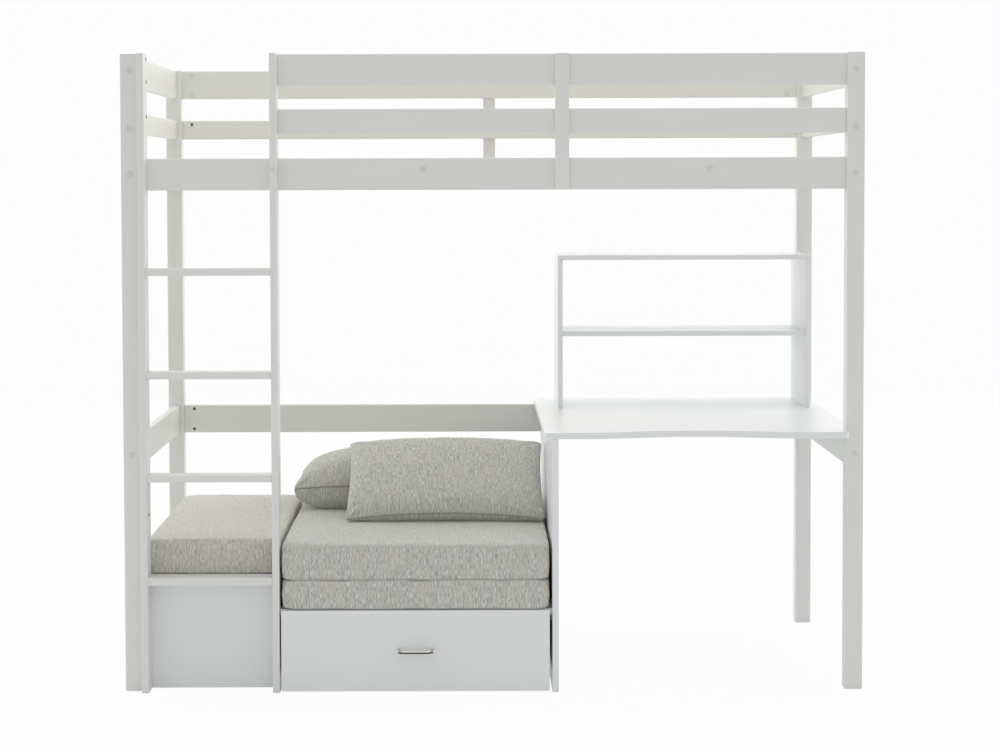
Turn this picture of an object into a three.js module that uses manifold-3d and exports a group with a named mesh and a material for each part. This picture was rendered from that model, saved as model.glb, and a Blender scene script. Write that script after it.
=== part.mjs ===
// A loft bed: a high single bed on four posts, reached by a ladder, over a padded bench, a low
// folded guest mattress with a wheeled drawer under it, and a desk with a small shelf unit.
// Millimetres, +Z up, +X to the right of someone facing the bed, +Y from the front to the back.
import * as THREE from "three";
import { mergeVertices } from "three/addons/utils/BufferGeometryUtils.js";
import Module from "manifold-3d";

const wasm = await Module();
wasm.setup();

// Overall sizes
const bedLength = 2100;
const bedDepth = 975;
const postWidth = 50;
const postHeight = 1810;

// Shared by all pieces
const seat = 0.3; // the gap left between two pieces that touch
const overrun = 5; // how far a cutting shape runs past what it cuts
const arrisRadius = 3; // rounding along the edges of the solid pine
const boardArrisRadius = 1; // rounding along the edges of the coated boards
const arrisSteps = 1;

// Pine rails
const railThickness = 20;
const railRecess = 15; // from the posts' outer faces to the rails
const wideRailHeight = 90;
const frontMiddleRailHeight = 70;
const endMiddleRailHeight = 60;
const topRailDrop = 1; // from the top of the posts to the top rails
const guardHeight = 294; // from the side rail's upper edge to the top rail's upper edge
const frontMiddleDrop = 65; // from the top rail down to the middle rail, in front
const endMiddleDrop = 71; // the same behind and at the ends
const lowerRailTop = 720;
const nutHoleRadius = 5; // cross holes for the barrel nuts at the rail ends
const nutHoleDepth = 14;
const nutHoleInset = 32; // from a rail's end
const nutHoleEdge = 12; // from a long rail's upper and lower edges
const nutHoleSides = 12;
const uprightWidth = 40;
const uprightLift = 3; // from the side rail's lower edge to the upright's end
const frontUprightPlace = 196; // from the middle of the bed
const backUprightPlace = 0;

// Slatted base
const ledgerHeight = 30;
const ledgerDepth = 30;
const ledgerLift = 5; // from the side rail's lower edge
const ledgerEndGap = 40;
const slatCount = 14;
const slatWidth = 70;
const slatThickness = 18;
const slatEndGap = 2;
const tapeWidth = 25;
const tapeThickness = 1.5;
const tapeInset = 120;

// Ladder
const stileThickness = 20;
const stileDepth = 70;
const stileOut = 30; // how far the stiles stand in front of the posts
const ladderClear = 352;
const rungThickness = 20;
const rungDepth = 65;
const rungInset = 2;
const rungCount = 3;
const rungDrop = 220; // from the side rail's lower edge to the highest rung
const rungArrisRadius = 5;
const treadThickness = 22;
const treadTop = 328;

// Bench at the left, below the ladder
const panelThickness = 18;
const benchTop = 326;
const cushionThickness = 101;
const cushionFrontGap = 3;
const cushionSideGap = 3;

// Guest seat in the middle
const platformTop = 236;
const seatWidth = 773.5; // between the bench and the divider
const fasciaOut = 29; // how far the drawer front and the divider stand in front of the posts
const lowerPadThickness = 84;
const upperPadThickness = 101;
const padSideGap = 4;
const padFrontOut = 29;
const padBackGap = 3;
const cleatThickness = 18; // the strips under the platform's two ends
const cleatHeight = 20;
const cleatFrontGap = 25;
const cleatBackGap = 40;

// Drawer
const drawerGapLeft = 4.5;
const drawerGapRight = 7.9;
const drawerFrontBottom = 4;
const drawerFrontDrop = 1.5; // from the platform's top to the top of the drawer front
const drawerSideGap = 10;
const drawerLength = 840;
const drawerWall = 15;
const drawerWallHeight = 130;
const drawerFloor = 12;
const wheelRadius = 19;
const wheelWidth = 15;
const wheelRound = 2;
const wheelSides = 28;
const floorGap = 0.3;
const axleRadius = 3;
const axleClearance = 0.1;
const axleSides = 24;
const wheelSideGap = 0.8;
const cheekThickness = 2.5;
const cheekRadius = 8;
const cheekSteps = 6;
const casterPlateLength = 44;
const casterPlateThickness = 2.5;
const casterHeight = 44.6;
const casterInsetX = 60;
const casterInsetY = 70;
const handleWidth = 115;
const handleReach = 28;
const handleBarHeight = 11;
const handleBarThickness = 5;
const handleCornerRadius = 13;
const handleArcSteps = 5; // to each half of the bar's section
const handleSteps = 24;

// Desk
const deskThickness = 18;
const deskLeftOverhang = 21.5; // past the divider
const deskFrontOut = 27;
const deskHollow = 50; // depth of the curve in the front edge
const deskStraight = 100; // straight length at each end of the front edge
const deskCorner = 14;
const deskLip = 6; // overlap in front of the right post
const deskScrewRadius = 4;
const deskScrewSides = 12;
const deskScrewShares = [0.158, 0.577, 0.959]; // of the bed's depth, from the front
const deskCurveHandleShare = 0.42;
const deskCurveSteps = 8;

// Shelf unit on the desk
const hutchBoard = 15;
const hutchHeadroom = 208; // from its top to the side rails' lower edge
const hutchDepth = 300;
const hutchLeftMargin = 66; // from the desk's left edge
const hutchBackGap = 35; // from its back to the back of the bed
const hutchShelfShare = 0.47; // of its height, from the desk to the middle shelf's underside
const hutchShelfInset = 6;

// Two loose pillows of one size. One lies flat, pressed flat below. The other leans on it, and
// its corners hang.
const pillowWidth = 600;
const pillowDepth = 350;
const backPillow = { above: 105, below: 78, hang: 0, upperShare: 0.59, lowerShare: 0.2 };
const frontPillow = { above: 45, below: 90, hang: 28, upperShare: 0.55, lowerShare: 0.4 };
const backPillowGap = 14;
const frontPillowReach = 400; // the furthest that its middle may lie in front of the other's
const frontPillowTilt = THREE.MathUtils.degToRad(35);
const pillowTrialCount = 30;
const pillowDrawShare = 0.03;
const pillowRoundness = 2.4; // how square the swelling is: 2 is round

// Places worked out from the sizes
const postInner = bedLength / 2 - postWidth; // of the posts' inner faces, from the middle
const railFront = railRecess;
const railBack = railRecess + railThickness;
const backRailFront = bedDepth - railBack;
const topRailTop = postHeight - topRailDrop;
const topRailBottom = topRailTop - wideRailHeight;
const sideRailTop = topRailTop - guardHeight;
const sideRailBottom = sideRailTop - wideRailHeight;
const stileFront = -stileOut;
const stileBack = stileFront + stileDepth;
const leftStile = -postInner + seat;
const rightStile = leftStile + stileThickness + ladderClear;
const benchRight = rightStile + stileThickness;
const benchFront = stileBack + seat;
const dividerLeft = benchRight + seatWidth;
const dividerRight = dividerLeft + panelThickness;
const deskLeft = dividerLeft - deskLeftOverhang;
const deskBottom = lowerRailTop + seat;
const deskTop = deskBottom + deskThickness;
const insideBack = backRailFront - seat;

const pine = { color: 0xe9e9e4, roughness: 0.55, metalness: 0 };
const board = { color: 0xeff0f2, roughness: 0.35, metalness: 0 };
const fabric = { color: 0xa7a69c, roughness: 0.95, metalness: 0 };
const nickel = { color: 0xb9b6ae, roughness: 0.35, metalness: 1 };
const steel = { color: 0xa9abad, roughness: 0.4, metalness: 1 };
const nylon = { color: 0x3a3b3c, roughness: 0.6, metalness: 0 };

const bed = new THREE.Group();

function piece(parent, name, geometry, finish, place = [0, 0, 0]) {
  const mesh = new THREE.Mesh(geometry, new THREE.MeshStandardMaterial(finish));
  mesh.name = name;
  mesh.position.set(...place);
  parent.add(mesh);
  return mesh;
}

// A three.js geometry as a solid that can be joined and cut.
function solid(geometry) {
  const bare = geometry.clone();
  bare.deleteAttribute("normal");
  bare.deleteAttribute("uv");
  const merged = mergeVertices(bare, seat / 100);
  return new wasm.Manifold(
    new wasm.Mesh({
      numProp: 3,
      vertProperties: merged.attributes.position.array,
      triVerts: new Uint32Array(merged.index.array),
    }),
  );
}

function geometryOf(manifold) {
  const mesh = manifold.getMesh();
  const geometry = new THREE.BufferGeometry();
  geometry.setAttribute("position", new THREE.BufferAttribute(mesh.vertProperties, 3));
  geometry.setIndex(new THREE.BufferAttribute(mesh.triVerts, 1));
  const flat = geometry.toNonIndexed();
  flat.computeVertexNormals();
  return flat;
}

function cut(geometry, tools) {
  return geometryOf(tools.reduce((body, tool) => body.subtract(solid(tool)), solid(geometry)));
}

function join(geometries) {
  const [first, ...rest] = geometries.map(solid);
  return geometryOf(rest.reduce((body, other) => body.add(other), first));
}

function roundedRectangle(low, high, radius) {
  const [left, bottom] = low;
  const [right, top] = high;
  const quarter = Math.PI / 2;
  const shape = new THREE.Shape();
  shape.moveTo(left + radius, bottom);
  shape.lineTo(right - radius, bottom);
  shape.absarc(right - radius, bottom + radius, radius, -quarter, 0);
  shape.lineTo(right, top - radius);
  shape.absarc(right - radius, top - radius, radius, 0, quarter);
  shape.lineTo(left + radius, top);
  shape.absarc(left + radius, top - radius, radius, quarter, 2 * quarter);
  shape.lineTo(left, bottom + radius);
  shape.absarc(left + radius, bottom + radius, radius, 2 * quarter, 3 * quarter);
  return shape;
}

// The two directions of a section, and then the direction in which it is drawn out.
const sectionAxes = { x: "yzx", y: "zxy", z: "xyz" };

// A straight piece between two corners, with its long edges rounded.
function bar(along, low, high, radius = arrisRadius) {
  const [u, v, w] = [...sectionAxes[along]].map((axis) => "xyz".indexOf(axis));
  const shape = roundedRectangle([low[u], low[v]], [high[u], high[v]], radius);
  const geometry = new THREE.ExtrudeGeometry(shape, {
    depth: high[w] - low[w],
    bevelEnabled: false,
    curveSegments: arrisSteps,
  });
  geometry.translate(0, 0, low[w]);
  const unit = [0, 1, 2].map((i) => new THREE.Vector3().setComponent(i, 1));
  return geometry.applyMatrix4(new THREE.Matrix4().makeBasis(unit[u], unit[v], unit[w]));
}

function block(low, high) {
  const size = high.map((value, i) => value - low[i]);
  const middle = high.map((value, i) => (value + low[i]) / 2);
  return new THREE.BoxGeometry(...size).translate(...middle);
}

// A round hole's cutting shape, from a point along +X, +Y or +Z.
function drill(along, start, depth, radius, sides) {
  const geometry = new THREE.CylinderGeometry(radius, radius, depth, sides);
  geometry.translate(0, depth / 2, 0);
  if (along === "x") geometry.rotateZ(-Math.PI / 2);
  if (along === "z") geometry.rotateX(Math.PI / 2);
  return geometry.translate(...start);
}

// The barrel-nut holes at the two ends of a rail, bored into its inner face at some heights.
function nutHoles(along, low, high, innerFace, inward, heights) {
  const [run, across] = along === "x" ? [0, 1] : [1, 0];
  const start = inward > 0 ? innerFace - nutHoleDepth : innerFace - overrun;
  const holes = [];
  for (const place of [low[run] + nutHoleInset, high[run] - nutHoleInset]) {
    for (const z of heights) {
      const point = [0, 0, z];
      point[run] = place;
      point[across] = start;
      const depth = nutHoleDepth + overrun;
      holes.push(drill(along === "x" ? "y" : "x", point, depth, nutHoleRadius, nutHoleSides));
    }
  }
  return holes;
}

// Posts and rails

function addPosts(group) {
  const section = bar("z", [0, 0, 0], [postWidth, postWidth, postHeight]);
  for (const [side, x] of [["left", -postInner - postWidth], ["right", postInner]]) {
    for (const [end, y] of [["front", 0], ["back", bedDepth - postWidth]]) {
      piece(group, `post_${end}_${side}`, section.clone(), pine, [x, y, 0]);
    }
  }
}

// A rail along the bed's front or back, between two places along the bed.
function longRail(face, left, right, bottom, height) {
  const near = face === "front" ? railFront : backRailFront;
  const low = [left, near, bottom];
  const high = [right, near + railThickness, bottom + height];
  const inward = face === "front" ? 1 : -1;
  const innerFace = face === "front" ? near + railThickness : near;
  const upper = high[2] - nutHoleEdge;
  const heights = height < wideRailHeight ? [upper] : [low[2] + nutHoleEdge, upper];
  return cut(bar("x", low, high), nutHoles("x", low, high, innerFace, inward, heights));
}

// A rail between a front and a back post, at the left or right end of the bed.
function endRail(side, bottom, height) {
  const outer = bedLength / 2 - railRecess;
  const x = side === "left" ? -outer : outer - railThickness;
  const low = [x, postWidth + seat, bottom];
  const high = [x + railThickness, bedDepth - postWidth - seat, bottom + height];
  const inward = side === "left" ? 1 : -1;
  const innerFace = side === "left" ? x + railThickness : x;
  const heights = [bottom + height / 2];
  return cut(bar("y", low, high), nutHoles("y", low, high, innerFace, inward, heights));
}

function addRails(group) {
  const left = -postInner + seat;
  const right = postInner - seat;
  const guardLeft = benchRight + seat;
  const frontMiddleBottom = topRailBottom - frontMiddleDrop - frontMiddleRailHeight;
  const endMiddleBottom = topRailBottom - endMiddleDrop - endMiddleRailHeight;
  const ledgerLeft = left + ledgerEndGap;
  const ledgerRight = right - ledgerEndGap;
  const ledgerBottom = sideRailBottom + ledgerLift;
  const ledgerTop = ledgerBottom + ledgerHeight;
  // Each side rail carries a ledger, glued along its inner face, for the slats.
  const ledgers = {
    front: [railBack - boardArrisRadius, railBack + ledgerDepth],
    back: [backRailFront - ledgerDepth, backRailFront + boardArrisRadius],
  };
  for (const face of ["front", "back"]) {
    const rail = longRail(face, left, right, sideRailBottom, wideRailHeight);
    const [near, far] = ledgers[face];
    const low = [ledgerLeft, near, ledgerBottom];
    const high = [ledgerRight, far, ledgerTop];
    piece(group, `side_rail_${face}`, join([rail, bar("x", low, high, boardArrisRadius / 2)]), pine);
  }
  for (const side of ["left", "right"]) {
    piece(group, `end_rail_${side}`, endRail(side, sideRailBottom, wideRailHeight), pine);
    piece(group, `guard_top_${side}`, endRail(side, topRailBottom, wideRailHeight), pine);
    piece(group, `guard_middle_${side}`, endRail(side, endMiddleBottom, endMiddleRailHeight), pine);
    const lower = endRail(side, lowerRailTop - wideRailHeight, wideRailHeight);
    piece(group, `lower_rail_${side}`, lower, pine);
  }
  const frontTop = longRail("front", guardLeft, right, topRailBottom, wideRailHeight);
  const frontMiddle = longRail("front", guardLeft, right, frontMiddleBottom, frontMiddleRailHeight);
  const backTop = longRail("back", left, right, topRailBottom, wideRailHeight);
  const backMiddle = longRail("back", left, right, endMiddleBottom, endMiddleRailHeight);
  const backLower = longRail("back", left, right, lowerRailTop - wideRailHeight, wideRailHeight);
  piece(group, "guard_top_front", frontTop, pine);
  piece(group, "guard_middle_front", frontMiddle, pine);
  piece(group, "guard_top_back", backTop, pine);
  piece(group, "guard_middle_back", backMiddle, pine);
  piece(group, "lower_rail_back", backLower, pine);
}

// The uprights that tie the guard rails to the side rail lie in the recess, flush with the posts.
function addUprights(group) {
  const bottom = sideRailBottom + uprightLift;
  const places = [
    ["front", frontUprightPlace, 0, railFront - seat],
    ["back", backUprightPlace, bedDepth - railRecess + seat, bedDepth],
  ];
  for (const [face, x, near, far] of places) {
    const low = [x - uprightWidth / 2, near, bottom];
    const high = [x + uprightWidth / 2, far, topRailTop];
    piece(group, `guard_upright_${face}`, bar("z", low, high), pine);
  }
}

// The slats are stapled to two woven tapes and roll out over the ledgers.
function addSlats(group) {
  const bottom = sideRailBottom + ledgerLift + ledgerHeight + seat;
  const near = railBack + slatEndGap;
  const far = backRailFront - slatEndGap;
  const reach = postInner - ledgerEndGap - seat;
  const pitch = (2 * reach - slatWidth) / (slatCount - 1);
  const pieces = [];
  for (let i = 0; i < slatCount; i++) {
    const x = -reach + i * pitch;
    const low = [x, near, bottom];
    const high = [x + slatWidth, far, bottom + slatThickness];
    pieces.push(block(low, high));
  }
  const tapeBottom = bottom + slatThickness - tapeThickness / 2;
  for (const y of [near + tapeInset, far - tapeInset - tapeWidth]) {
    const low = [-reach + tapeWidth, y, tapeBottom];
    const high = [reach - tapeWidth, y + tapeWidth, tapeBottom + tapeThickness];
    pieces.push(block(low, high));
  }
  piece(group, "slat_base", join(pieces), pine);
}

// Ladder

function addLadder(group) {
  // Each stile is notched over the side rail, which takes the weight of whoever climbs.
  const notch = block(
    [-overrun, railFront - seat, sideRailBottom - seat],
    [stileThickness + overrun, stileBack + overrun, sideRailTop + seat],
  );
  const stile = bar("z", [0, stileFront, 0], [stileThickness, stileBack, postHeight]);
  const notched = cut(stile, [notch]);
  piece(group, "ladder_stile_left", notched, pine, [leftStile, 0, 0]);
  piece(group, "ladder_stile_right", notched.clone(), pine, [rightStile, 0, 0]);
  const left = leftStile + stileThickness + seat;
  const right = rightStile - seat;
  const near = stileFront + rungInset;
  const rung = bar("x", [left, near, -rungThickness], [right, near + rungDepth, 0], rungArrisRadius);
  const highest = sideRailBottom - rungDrop;
  const pitch = (highest - treadTop) / rungCount;
  for (let i = 0; i < rungCount; i++) {
    piece(group, `ladder_rung_${i + 1}`, rung.clone(), pine, [0, 0, highest - i * pitch]);
  }
  const low = [left, near, treadTop - treadThickness];
  const high = [right, stileBack, treadTop];
  piece(group, "ladder_tread_bottom", bar("x", low, high), pine);
}

// Bench and guest seat

function addBench(group) {
  const left = -postInner + seat;
  const back = insideBack;
  const wallTop = benchTop - panelThickness - seat;
  const inner = benchFront + panelThickness + seat;
  const frontPanel = bar("z", [left, benchFront, 0], [benchRight, inner - seat, wallTop], boardArrisRadius);
  const sidePanel = bar("z", [left, inner, 0], [left + panelThickness, back, wallTop], boardArrisRadius);
  const partitionLow = [benchRight - panelThickness, inner, 0];
  const partition = bar("z", partitionLow, [benchRight, back, wallTop], boardArrisRadius);
  const topLow = [left, benchFront, benchTop - panelThickness];
  const seatBoard = bar("y", topLow, [benchRight, back, benchTop], boardArrisRadius);
  piece(group, "bench_front_panel", frontPanel, board);
  piece(group, "bench_side_panel", sidePanel, board);
  piece(group, "bench_partition", partition, board);
  piece(group, "bench_seat_board", seatBoard, board);
}

function addGuestSeat(group) {
  // The closed drawer's front stops against the platform's edge.
  const platformFront = -fasciaOut + panelThickness + seat;
  const platformLow = [benchRight + seat, platformFront, platformTop - panelThickness];
  const platformHigh = [dividerLeft - seat, insideBack, platformTop];
  piece(group, "seat_platform", bar("x", platformLow, platformHigh, boardArrisRadius), board);
  const cleatTop = platformTop - panelThickness - seat;
  const cleatFront = platformFront + cleatFrontGap;
  const cleatLefts = [["left", benchRight + seat], ["right", dividerLeft - seat - cleatThickness]];
  for (const [side, x] of cleatLefts) {
    const low = [x, cleatFront, cleatTop - cleatHeight];
    const high = [x + cleatThickness, insideBack - cleatBackGap, cleatTop];
    piece(group, `platform_cleat_${side}`, bar("y", low, high, boardArrisRadius), pine);
  }
  const dividerLow = [dividerLeft, -fasciaOut, 0];
  const dividerHigh = [dividerRight, insideBack, lowerRailTop];
  piece(group, "desk_divider", bar("z", dividerLow, dividerHigh, boardArrisRadius), board);
}

// Desk and shelf unit

function deskOutline() {
  const left = deskLeft;
  const right = bedLength / 2 - railRecess;
  const inner = postInner - seat;
  const lip = postInner + deskLip;
  const back = bedDepth;
  const front = -deskFrontOut;
  const curveLeft = left + deskStraight;
  const curveRight = lip - deskStraight;
  const middle = (curveLeft + curveRight) / 2;
  const handle = (middle - curveLeft) * deskCurveHandleShare;
  const hollow = front + deskHollow;
  const quarter = Math.PI / 2;
  const shape = new THREE.Shape();
  shape.moveTo(left, back);
  shape.lineTo(left, front + deskCorner);
  shape.absarc(left + deskCorner, front + deskCorner, deskCorner, 2 * quarter, 3 * quarter);
  shape.lineTo(curveLeft, front);
  shape.bezierCurveTo(curveLeft + handle, front, middle - handle, hollow, middle, hollow);
  shape.bezierCurveTo(middle + handle, hollow, curveRight - handle, front, curveRight, front);
  shape.lineTo(lip - deskCorner, front);
  shape.absarc(lip - deskCorner, front + deskCorner, deskCorner, 3 * quarter, 4 * quarter);
  shape.lineTo(lip, -seat);
  shape.lineTo(inner, -seat);
  shape.lineTo(inner, postWidth + seat);
  shape.lineTo(right, postWidth + seat);
  shape.lineTo(right, bedDepth - postWidth - seat);
  shape.lineTo(inner, bedDepth - postWidth - seat);
  shape.lineTo(inner, back);
  return shape;
}

function addDesk(group) {
  const top = new THREE.ExtrudeGeometry(deskOutline(), {
    depth: deskThickness,
    bevelEnabled: false,
    curveSegments: deskCurveSteps,
  });
  top.translate(0, 0, deskBottom);
  const screwX = (dividerLeft + dividerRight) / 2;
  const screws = deskScrewShares.map((share) => {
    const start = [screwX, share * bedDepth, deskBottom - overrun];
    const depth = deskThickness + 2 * overrun;
    return drill("z", start, depth, deskScrewRadius, deskScrewSides);
  });
  piece(group, "desk_top", cut(top, screws), board);
}

// The shelf unit's own frame is at its left, front, lower corner.
function addHutch(group) {
  const hutch = new THREE.Group();
  const hutchLeft = deskLeft + hutchLeftMargin;
  const hutchWidth = postInner - 2 * seat - hutchLeft;
  const hutchHeight = sideRailBottom - hutchHeadroom - deskTop - seat;
  const hutchShelfHeight = hutchHeight * hutchShelfShare;
  hutch.position.set(hutchLeft, bedDepth - hutchBackGap - hutchDepth, deskTop + seat);
  group.add(hutch);
  const side = bar("z", [0, 0, 0], [hutchBoard, hutchDepth, hutchHeight - hutchBoard], boardArrisRadius);
  piece(hutch, "hutch_side_left", side, board);
  piece(hutch, "hutch_side_right", side.clone(), board, [hutchWidth - hutchBoard, 0, 0]);
  const topLow = [0, 0, hutchHeight - hutchBoard + seat];
  const topHigh = [hutchWidth, hutchDepth, hutchHeight];
  piece(hutch, "hutch_shelf_top", bar("x", topLow, topHigh, boardArrisRadius), board);
  const shelfLow = [hutchBoard + seat, hutchShelfInset, hutchShelfHeight];
  const shelfRight = hutchWidth - hutchBoard - seat;
  const shelfHigh = [shelfRight, hutchDepth, hutchShelfHeight + hutchBoard];
  piece(hutch, "hutch_shelf_middle", bar("x", shelfLow, shelfHigh, boardArrisRadius), board);
}

// Drawer

// A bow handle: a flat bar bent out from the drawer front and back to it.
function handleGeometry() {
  const half = (handleWidth - handleBarThickness) / 2;
  const reach = handleReach - handleBarThickness / 2;
  const r = handleCornerRadius;
  const path = new THREE.CurvePath();
  const at = (x, y) => new THREE.Vector3(x, -y, 0);
  path.add(new THREE.LineCurve3(at(-half, 0), at(-half, reach - r)));
  path.add(new THREE.QuadraticBezierCurve3(at(-half, reach - r), at(-half, reach), at(-half + r, reach)));
  path.add(new THREE.LineCurve3(at(-half + r, reach), at(half - r, reach)));
  path.add(new THREE.QuadraticBezierCurve3(at(half - r, reach), at(half, reach), at(half, reach - r)));
  path.add(new THREE.LineCurve3(at(half, reach - r), at(half, 0)));
  const section = new THREE.Shape();
  section.absellipse(0, 0, handleBarHeight / 2, handleBarThickness / 2, 0, 2 * Math.PI);
  return new THREE.ExtrudeGeometry(section, {
    steps: handleSteps,
    curveSegments: handleArcSteps,
    bevelEnabled: false,
    extrudePath: path,
  });
}

function wheelGeometry() {
  const half = wheelWidth / 2;
  const bore = axleRadius + axleClearance;
  const profile = [
    [bore, -half],
    [wheelRadius - wheelRound, -half],
    [wheelRadius, -half + wheelRound],
    [wheelRadius, half - wheelRound],
    [wheelRadius - wheelRound, half],
    [bore, half],
    [bore, -half],
  ];
  const points = profile.map(([radius, x]) => new THREE.Vector2(radius, x));
  return new THREE.LatheGeometry(points, wheelSides).rotateZ(-Math.PI / 2);
}

// A fixed fork: a plate under the drawer, two cheeks and the axle between them. Its frame is
// at the axle's middle.
function forkGeometry() {
  const innerHalf = wheelWidth / 2 + wheelSideGap;
  const outerHalf = innerHalf + cheekThickness;
  const top = casterHeight - wheelRadius - floorGap;
  const plateBottom = top - casterPlateThickness;
  const half = casterPlateLength / 2;
  const plate = block([-outerHalf, -half, plateBottom], [outerHalf, half, top]);
  const cheekShape = new THREE.Shape();
  cheekShape.moveTo(half - cheekRadius, plateBottom + casterPlateThickness / 2);
  cheekShape.lineTo(-half + cheekRadius, plateBottom + casterPlateThickness / 2);
  cheekShape.lineTo(-cheekRadius, 0);
  cheekShape.absarc(0, 0, cheekRadius, Math.PI, 2 * Math.PI);
  cheekShape.lineTo(half - cheekRadius, plateBottom + casterPlateThickness / 2);
  const cheek = new THREE.ExtrudeGeometry(cheekShape, {
    depth: cheekThickness,
    bevelEnabled: false,
    curveSegments: cheekSteps,
  });
  const yz = new THREE.Matrix4().makeBasis(
    new THREE.Vector3(0, 1, 0),
    new THREE.Vector3(0, 0, 1),
    new THREE.Vector3(1, 0, 0),
  );
  cheek.applyMatrix4(yz);
  const left = cheek.clone().translate(-outerHalf, 0, 0);
  const right = cheek.translate(innerHalf, 0, 0);
  const axleLength = 2 * innerHalf + cheekThickness;
  const axle = drill("x", [-axleLength / 2, 0, 0], axleLength, axleRadius, axleSides);
  return join([plate, left, right, axle]);
}

// The drawer's own frame is at the floor, under the left end of its front's outer face.
function addDrawer(group) {
  const drawer = new THREE.Group();
  drawer.position.set(benchRight + drawerGapLeft, -fasciaOut, 0);
  group.add(drawer);
  const width = seatWidth - drawerGapLeft - drawerGapRight;
  const frontTop = platformTop - drawerFrontDrop;
  const frontHigh = [width, panelThickness, frontTop];
  const front = bar("x", [0, 0, drawerFrontBottom], frontHigh, boardArrisRadius);
  piece(drawer, "drawer_front", front, board);
  const left = drawerSideGap - drawerGapLeft;
  const right = seatWidth - drawerSideGap - drawerGapLeft;
  const near = panelThickness + seat;
  const far = near + drawerLength;
  const floorTop = casterHeight + seat + drawerFloor;
  const floorLow = [left, near, floorTop - drawerFloor];
  piece(drawer, "drawer_bottom", bar("y", floorLow, [right, far, floorTop], boardArrisRadius), board);
  const wallBottom = floorTop + seat;
  const wallTop = wallBottom + drawerWallHeight;
  for (const [side, x] of [["left", left], ["right", right - drawerWall]]) {
    const wall = bar("y", [x, near, wallBottom], [x + drawerWall, far, wallTop], boardArrisRadius);
    piece(drawer, `drawer_side_${side}`, wall, board);
  }
  const backLow = [left + drawerWall + seat, far - drawerWall, wallBottom];
  const backHigh = [right - drawerWall - seat, far, wallTop];
  piece(drawer, "drawer_back", bar("x", backLow, backHigh, boardArrisRadius), board);
  const handleHeight = (drawerFrontBottom + frontTop) / 2;
  piece(drawer, "drawer_handle", handleGeometry(), nickel, [width / 2, -seat, handleHeight]);
  const fork = forkGeometry();
  const wheel = wheelGeometry();
  const axleHeight = wheelRadius + floorGap;
  for (const [side, x] of [["left", left + casterInsetX], ["right", right - casterInsetX]]) {
    for (const [end, y] of [["front", near + casterInsetY], ["back", far - casterInsetY]]) {
      piece(drawer, `caster_fork_${end}_${side}`, fork.clone(), steel, [x, y, axleHeight]);
      piece(drawer, `caster_wheel_${end}_${side}`, wheel.clone(), nylon, [x, y, axleHeight]);
    }
  }
}

// Soft pieces

// A closed skin over rings of points, with the first and the last ring drawn to one point each.
function skin(rings, first, last) {
  const count = rings[0].length;
  const points = [first, ...rings.flat(), last];
  const faces = [];
  const at = (ring, i) => 1 + ring * count + (i % count);
  for (let i = 0; i < count; i++) {
    faces.push(0, at(0, i + 1), at(0, i));
    for (let ring = 0; ring + 1 < rings.length; ring++) {
      faces.push(at(ring, i), at(ring, i + 1), at(ring + 1, i + 1));
      faces.push(at(ring, i), at(ring + 1, i + 1), at(ring + 1, i));
    }
    faces.push(points.length - 1, at(rings.length - 1, i), at(rings.length - 1, i + 1));
  }
  const geometry = new THREE.BufferGeometry();
  geometry.setAttribute("position", new THREE.Float32BufferAttribute(points.flat(), 3));
  geometry.setIndex(faces);
  geometry.computeVertexNormals();
  return geometry;
}

const padCorner = 28;
const padEdge = 12; // rounding between a pad's side and its top or bottom
const padCrown = 5;
const padDraw = 3; // how far the sides pull in between the corners
const padSwell = 3; // how far the boxed side swells between its two seams
const padOutlineCount = 56;
const padEdgeSteps = 2;
const padTopShares = [0.07, 0.17, 0.3]; // of the way to the middle, where the crown rises
const padRiseShares = [0.5, 0.85, 1]; // of the crown, at those places

// A boxed foam pad: rounded corners, sides that pull in between them, and a crowned top. It is
// centred over the origin and stands on it.
function padGeometry(width, depth, thickness) {
  const crown = padCrown;
  const halfWidth = width / 2;
  const halfDepth = depth / 2;
  const outline = roundedRectangle([-halfWidth, -halfDepth], [halfWidth, halfDepth], padCorner);
  const points = outline.getSpacedPoints(padOutlineCount).slice(0, padOutlineCount);
  const ring = (inset, z, swell) =>
    points.map(({ x, y }) => {
      const acrossX = 1 - (x / halfWidth) ** 2;
      const acrossY = 1 - (y / halfDepth) ** 2;
      const drawX = (padDraw - swell) * acrossY * Math.abs(x / halfWidth);
      const drawY = (padDraw - swell) * acrossX * Math.abs(y / halfDepth);
      const scaleX = (halfWidth - inset - drawX) / halfWidth;
      const scaleY = (halfDepth - inset - drawY) / halfDepth;
      return [x * scaleX, y * scaleY, z];
    });
  const rings = [];
  const bodyTop = thickness - crown;
  for (let i = 0; i <= padEdgeSteps; i++) {
    const angle = (i / padEdgeSteps) * (Math.PI / 2);
    rings.push(ring(padEdge * (1 - Math.sin(angle)), padEdge * (1 - Math.cos(angle)), 0));
  }
  rings.push(ring(0, bodyTop / 2, padSwell));
  for (let i = 0; i <= padEdgeSteps; i++) {
    const angle = (i / padEdgeSteps) * (Math.PI / 2);
    const height = bodyTop - padEdge * (1 - Math.sin(angle));
    rings.push(ring(padEdge * (1 - Math.cos(angle)), height, 0));
  }
  const reach = Math.min(halfWidth, halfDepth) - padEdge;
  padTopShares.forEach((share, i) => {
    rings.push(ring(padEdge + share * reach, bodyTop + crown * padRiseShares[i], padDraw));
  });
  return skin(rings, [0, 0, 0], [0, 0, thickness]);
}

const pillowStepsAcross = 20;
const pillowStepsAlong = 14;

// How far a pillow's upper or lower face lies from its seam's plane, at a share of its half width
// and of its half depth.
function pillowHeight({ above, below, hang, upperShare, lowerShare }, side, u, v) {
  const room = (1 - Math.abs(u) ** pillowRoundness) * (1 - Math.abs(v) ** pillowRoundness);
  const swell = side > 0 ? above * room ** upperShare : -below * room ** lowerShare;
  return swell - hang * (u * v) ** 2;
}

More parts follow.
